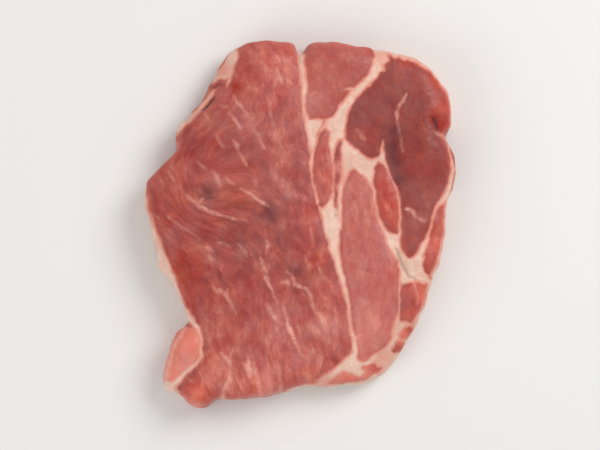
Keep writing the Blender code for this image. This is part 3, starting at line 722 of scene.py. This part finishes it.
# Noises of the material: width, length and depth of their marks, and their detail.
fibreNoises = {"mottle": (2.4, 3.8, 8.0, 3.0), "patches": (5.0, 8.0, 12.0, 2.0)}
placeNoises = {
    "speckle": (0.6, 0.6, 4.0, 2.0), "wobble": (1.5, 1.5, 3.0, 2.0),
    "breaks": (2.0, 2.0, 3.0, 2.0), "clouds": (3.0, 3.4, 7.0, 3.0),
    "skin": (4.0, 4.0, 12.0, 4.0), "hue": (4.6, 4.6, 9.0, 2.0), "veils": (6.4, 6.4, 11.0, 2.0),
}


def addNode(tree, kind, **settings):
    node = tree.nodes.new("ShaderNode" + kind)
    for name, value in settings.items():
        setattr(node, name, value)
    return node


def plug(tree, socket, source):
    # source is a number, a colour or vector, or another node's socket
    if isinstance(source, bpy.types.NodeSocket):
        tree.links.new(source, socket)
    else:
        socket.default_value = source


def maths(tree, operation, first, second):
    node = addNode(tree, "Math", operation=operation)
    plug(tree, node.inputs[0], first)
    plug(tree, node.inputs[1], second)
    return node.outputs[0]


def blendColours(tree, share, first, second):
    node = addNode(tree, "Mix", data_type="RGBA")
    plug(tree, node.inputs["Factor"], share)
    plug(tree, node.inputs["A"], first)
    plug(tree, node.inputs["B"], second)
    return node.outputs["Result"]


def fit(tree, value, low, high, newLow=0.0, newHigh=1.0, smooth=False):
    node = addNode(tree, "MapRange", interpolation_type="SMOOTHSTEP" if smooth else "LINEAR")
    names = ("Value", "From Min", "From Max", "To Min", "To Max")
    for name, source in zip(names, (value, low, high, newLow, newHigh)):
        plug(tree, node.inputs[name], source)
    return node.outputs["Result"]


def newGroup(name, takes, gives):
    group = bpy.data.node_groups.new(name, "ShaderNodeTree")
    for socketName, kind, value in takes:
        socket = group.interface.new_socket(socketName, in_out="INPUT", socket_type=kind)
        if value is not None:
            socket.default_value = value
    for socketName in gives:
        group.interface.new_socket(socketName, in_out="OUTPUT", socket_type="NodeSocketFloat")
    return group, group.nodes.new("NodeGroupInput"), group.nodes.new("NodeGroupOutput")


def useGroup(tree, group, **inputs):
    node = addNode(tree, "Group", node_tree=group)
    for name, source in inputs.items():
        plug(tree, node.inputs[name], source)
    return node.outputs


def drawnOut(group, inside):
    # the space divided by a width, a length and a depth
    sizes = addNode(group, "CombineXYZ")
    for axis, name in zip("XYZ", ("Width", "Length", "Depth")):
        group.links.new(inside.outputs[name], sizes.inputs[axis])
    scaled = addNode(group, "VectorMath", operation="DIVIDE")
    group.links.new(inside.outputs["Space"], scaled.inputs[0])
    group.links.new(sizes.outputs[0], scaled.inputs[1])
    return scaled.outputs[0]


def grainGroup():
    # noise drawn out along one axis, its sizes in millimetres
    takes = [
        ("Space", "NodeSocketVector", None), ("Width", "NodeSocketFloat", 1.0),
        ("Length", "NodeSocketFloat", 8.0), ("Depth", "NodeSocketFloat", 8.0),
        ("Detail", "NodeSocketFloat", 3.0),
    ]
    group, inside, out = newGroup("meatGrain", takes, ["Value"])
    texture = addNode(group, "TexNoise")
    texture.inputs["Scale"].default_value = 1.0
    texture.inputs["Roughness"].default_value = 0.6
    group.links.new(drawnOut(group, inside), texture.inputs["Vector"])
    group.links.new(inside.outputs["Detail"], texture.inputs["Detail"])
    group.links.new(texture.outputs["Fac"], out.inputs["Value"])
    return group


def bundleGroup():
    # bundles packed side by side: a value of its own for each, and 1 on the skin between them
    takes = [
        ("Space", "NodeSocketVector", None), ("Width", "NodeSocketFloat", 1.5),
        ("Length", "NodeSocketFloat", 6.0), ("Depth", "NodeSocketFloat", 8.0),
        ("Skin", "NodeSocketFloat", 0.08), ("Unevenness", "NodeSocketFloat", 0.6),
    ]
    group, inside, out = newGroup("packedBundles", takes, ["Own", "Skin"])
    scaled = drawnOut(group, inside)
    bends = addNode(group, "TexNoise")
    bends.inputs["Scale"].default_value = 1.1
    bends.inputs["Detail"].default_value = 2.0
    group.links.new(scaled, bends.inputs["Vector"])
    centred = addNode(group, "VectorMath", operation="SUBTRACT")
    group.links.new(bends.outputs["Color"], centred.inputs[0])
    centred.inputs[1].default_value = (0.5, 0.5, 0.5)
    push = addNode(group, "VectorMath", operation="SCALE")
    group.links.new(centred.outputs[0], push.inputs[0])
    group.links.new(inside.outputs["Unevenness"], push.inputs["Scale"])
    bent = addNode(group, "VectorMath", operation="ADD")
    group.links.new(scaled, bent.inputs[0])
    group.links.new(push.outputs[0], bent.inputs[1])
    own = addNode(group, "TexVoronoi", feature="F1")
    between = addNode(group, "TexVoronoi", feature="DISTANCE_TO_EDGE")
    for texture in (own, between):
        texture.inputs["Scale"].default_value = 1.0
        group.links.new(bent.outputs[0], texture.inputs["Vector"])
    split = addNode(group, "SeparateColor")
    group.links.new(own.outputs["Color"], split.inputs[0])
    group.links.new(split.outputs[0], out.inputs["Own"])
    skin = fit(group, between.outputs["Distance"], inside.outputs["Skin"], 0.0, smooth=True)
    group.links.new(skin, out.inputs["Skin"])
    return group


def edgeGroup():
    # 1 inside a drawn shape and 0 outside it, with an edge that wanders
    takes = [
        ("Gap", "NodeSocketFloat", 0.0), ("Wander", "NodeSocketFloat", 0.5),
        ("Noise", "NodeSocketFloat", 0.5), ("Softness", "NodeSocketFloat", 0.3),
    ]
    group, inside, out = newGroup("wanderingEdge", takes, ["Mask"])
    swing = maths(group, "SUBTRACT", inside.outputs["Noise"], 0.5)
    swing = maths(group, "MULTIPLY", swing, inside.outputs["Wander"])
    gap = maths(group, "ADD", inside.outputs["Gap"], swing)
    half = maths(group, "MULTIPLY", inside.outputs["Softness"], 0.5)
    mask = fit(group, gap, half, maths(group, "MULTIPLY", half, -1.0), smooth=True)
    group.links.new(mask, out.inputs["Mask"])
    return group


def meatMaterial():
    material = bpy.data.materials.new("rawPork")
    material.use_nodes = True
    tree = material.node_tree
    shader = tree.nodes["Principled BSDF"]
    grain, bundle, edge = grainGroup(), bundleGroup(), edgeGroup()

    def attribute(name, output="Fac"):
        return addNode(tree, "Attribute", attribute_name=name).outputs[output]

    def grainOf(space, width, length, depth, detail):
        sizes = {"Width": width, "Length": length, "Depth": depth, "Detail": detail}
        return useGroup(tree, grain, Space=space, **sizes)[0]

    def maskOf(gap, wander, wobble, softness):
        return useGroup(tree, edge, Gap=gap, Wander=wander, Noise=wobble, Softness=softness)[0]

    def add(first, second):
        return maths(tree, "ADD", first, second)

    def times(first, second):
        return maths(tree, "MULTIPLY", first, second)

    def without(share):
        return maths(tree, "SUBTRACT", 1.0, share)

    # where a point lies on the steak in millimetres, and where it lies among the fibres
    place = addNode(tree, "VectorMath", operation="SCALE")
    plug(tree, place.inputs[0], addNode(tree, "TexCoord").outputs["Object"])
    place.inputs["Scale"].default_value = 1 / mm
    place = place.outputs[0]
    fibres = attribute("fibres", "Vector")
    strands, wall, litRim = attribute("strands"), attribute("wall"), attribute("litRim")
    grainShare = attribute("grainShare")
    length = fit(tree, strands, 0.0, 1.0, 1.4, 6.0)

    bundles = useGroup(tree, bundle, Space=fibres, Width=1.4, Length=length, Depth=9.0, Skin=0.09)
    noises = {name: grainOf(place, *sizes) for name, sizes in placeNoises.items()}
    noises |= {name: grainOf(fibres, *sizes) for name, sizes in fibreNoises.items()}
    noises["soft"] = grainOf(fibres, 1.6, length, 9.0, 2.0)
    noises["threads"] = grainOf(fibres, 0.45, times(length, 0.6), 6.0, 2.0)
    noises["flecks"] = grainOf(fibres, 1.2, times(length, 0.6), 6.0, 2.0)
    evened = times(maths(tree, "SUBTRACT", noises["patches"], 0.5), grainShare)
    noises["patches"] = add(evened, 0.5)

    # tone of the lean, with the skins between its bundles and its flecks
    play = fit(tree, bundles["Own"], 0.0, 1.0, -0.05, 0.05)
    for name, swing in finish["tonePlay"].items():
        play = add(play, fit(tree, noises[name], 0.3, 0.7, -swing, swing))
    skins = fit(tree, noises["patches"], 0.4, 0.62, 0.03, 0.18)
    play = add(play, times(bundles["Skin"], skins))
    flecks = fit(tree, noises["flecks"], 0.55, 0.78)
    play = add(play, times(flecks, fit(tree, noises["mottle"], 0.4, 0.6, 0.05, 0.3)))
    play = times(times(play, fit(tree, strands, 0.3, 0.75, 0.55, 1.0)), grainShare)
    tone = add(attribute("tone"), play)
    ramp = addNode(tree, "ValToRGB")
    ramp.color_ramp.interpolation = "B_SPLINE"
    ramp.color_ramp.elements.remove(ramp.color_ramp.elements[1])
    for number, (position, colour) in enumerate(finish["leanTones"]):
        stops = ramp.color_ramp.elements
        stop = stops[0] if number == 0 else stops.new(position)
        stop.position, stop.color = position, colour
    plug(tree, ramp.inputs["Fac"], fit(tree, tone, -1.0, 1.0))
    redness = add(attribute("redness"), fit(tree, noises["hue"], 0.35, 0.65, -0.36, 0.36))
    hues = addNode(tree, "HueSaturation")
    plug(tree, hues.inputs["Saturation"], fit(tree, redness, -1.0, 2.0, *finish["saturation"]))
    plug(tree, hues.inputs["Hue"], fit(tree, noises["patches"], 0.35, 0.65, *finish["hue"]))
    plug(tree, hues.inputs["Color"], ramp.outputs["Color"])
    # painted light: paler lean where the margin turns down
    lean = blendColours(tree, times(litRim, 0.4), hues.outputs["Color"], finish["litRimLean"])

    # streaks of fat in the lean
    broken = fit(tree, noises["breaks"], 0.34, 0.6, 0.5, 1.2)
    streakMask = maskOf(attribute("streak"), 1.0, noises["wobble"], 1.3)
    streakMask = times(times(streakMask, attribute("streakShare")), broken)
    lean = blendColours(tree, streakMask, lean, finish["streak"])

    # seams of fat, pink where they thin out over the lean
    gap = attribute("fat")
    fatMask = maskOf(gap, 0.9, noises["wobble"], 0.75)
    fatCore = maskOf(add(gap, 0.6), 1.2, noises["clouds"], 1.0)
    lobuleSizes = {"Width": 1.7, "Length": 1.7, "Depth": 2.4, "Skin": 0.22, "Unevenness": 1.0}
    lobules = useGroup(tree, bundle, Space=place, **lobuleSizes)
    paleness = fit(tree, lobules["Own"], 0.1, 0.9, 0.2, 0.8)
    fat = blendColours(tree, paleness, finish["fat"], finish["fatPale"])
    fat = blendColours(tree, times(lobules["Skin"], 0.22), fat, finish["fatVein"])
    fat = blendColours(tree, fit(tree, noises["hue"], 0.5, 0.68, 0.0, 0.5), fat, finish["fatDull"])
    veils = fit(tree, noises["veils"], 0.54, 0.72, 0.0, 0.28)
    fatPinkness = add(attribute("fatPinkness"), veils)
    fat = blendColours(tree, fatPinkness, fat, finish["fatPink"])
    fat = blendColours(tree, fatCore, finish["fatPink"], fat)
    colour = blendColours(tree, fatMask, lean, fat)

    # thin pale skin over the sides, and painted shade in the creases
    skin = times(fit(tree, noises["skin"], 0.44, 0.64, 0.0, 0.6), wall)
    skin = times(skin, without(fatMask))
    colour = blendColours(tree, skin, colour, finish["skin"])
    colour = blendColours(tree, times(attribute("creaseShade"), 0.8), colour, finish["creviceShade"])
    plug(tree, shader.inputs["Base Color"], colour)

    # wet and dull patches
    middle, swing = finish["roughness"], finish["roughnessPlay"]
    roughness = fit(tree, noises["clouds"], 0.3, 0.7, middle - swing, middle + swing)
    plug(tree, shader.inputs["Roughness"], add(roughness, times(fatMask, 0.05)))
    grooves = times(bundles["Skin"], 0.12)
    height = maths(tree, "SUBTRACT", times(noises["threads"], 0.5), grooves)
    height = times(times(height, grainShare), without(fatMask))
    height = add(height, times(noises["speckle"], fit(tree, fatMask, 0.0, 1.0, 0.5, 0.2)))
    height = add(height, times(noises["wobble"], 0.3))
    bump = addNode(tree, "Bump")
    bump.inputs["Strength"].default_value = finish["bump"]
    bump.inputs["Distance"].default_value = finish["bumpDepth"] * mm
    plug(tree, bump.inputs["Height"], height)
    plug(tree, shader.inputs["Normal"], bump.outputs["Normal"])

    constants = {
        "Subsurface Weight": finish["subsurface"], "Subsurface Radius": finish["subsurfaceRadius"],
        "Subsurface Scale": finish["subsurfaceScale"] * mm, "Coat Weight": finish["coat"],
        "Specular IOR Level": finish["specular"], "Coat Roughness": finish["coatRoughness"],
    }
    for name, value in constants.items():
        shader.inputs[name].default_value = value
    return material


steak = steakPiece()
carveRelief(steak)
storeMeat(steak)
makeActive(steak)
bpy.ops.object.shade_smooth()
steak.data.materials.clear()
steak.data.materials.append(meatMaterial())
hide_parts(slab["node"])
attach(steak, "root")
print("steak dressed")

studio = {
    "floorSize": 3.0, "floor": paint(232, 230, 227), "floorRoughness": 0.6,
    "lens": 200,
    "share": 0.82,  # of the frame's height that the steak fills
    "pixels": (600, 450),
    "lights": [  # name, place, size, watts
        ("keyLight", (0.5, 0.4, 0.6), 0.5, 4.6),
        ("fillLight", (-0.6, -0.4, 0.5), 0.8, 2.6),
    ],
    "aim": (0, 0, 0.01),
    "sky": 0.525,
}


def layFloor():
    bpy.ops.mesh.primitive_plane_add(size=studio["floorSize"])
    floor = bpy.context.object
    floor.name = "floor"
    material = bpy.data.materials.new("paleFloor")
    material.use_nodes = True
    shader = material.node_tree.nodes["Principled BSDF"]
    shader.inputs["Base Color"].default_value = studio["floor"]
    shader.inputs["Roughness"].default_value = studio["floorRoughness"]
    floor.data.materials.append(material)


def lightStudio():
    for name, place, size, watts in studio["lights"]:
        bpy.ops.object.light_add(type="AREA", location=place)
        light = bpy.context.object
        light.name = name
        light.data.shape = "DISK"
        light.data.size = size
        light.data.energy = watts
        outwards = Vector(place) - Vector(studio["aim"])
        light.rotation_euler = outwards.to_track_quat("Z", "Y").to_euler()
    world = bpy.data.worlds.new("softRoom")
    bpy.context.scene.world = world
    world.use_nodes = True
    sky = world.node_tree.nodes["Background"]
    sky.inputs["Color"].default_value = (1, 1, 1, 1)
    sky.inputs["Strength"].default_value = studio["sky"]
    bpy.context.scene.view_settings.view_transform = "Standard"


def setCamera():
    low, high = cadBox
    across, tall = studio["pixels"]
    data = bpy.data.cameras.new("camera")
    data.lens = studio["lens"]
    camera = bpy.data.objects.new("camera", data)
    bpy.context.scene.collection.objects.link(camera)
    sensorHeight = data.sensor_width * tall / across
    away = (high.y - low.y) / studio["share"] * data.lens / sensorHeight
    camera.location = ((low.x + high.x) / 2, (low.y + high.y) / 2, high.z + away)
    bpy.context.scene.camera = camera


layFloor()
lightStudio()
setCamera()
print("studio set")
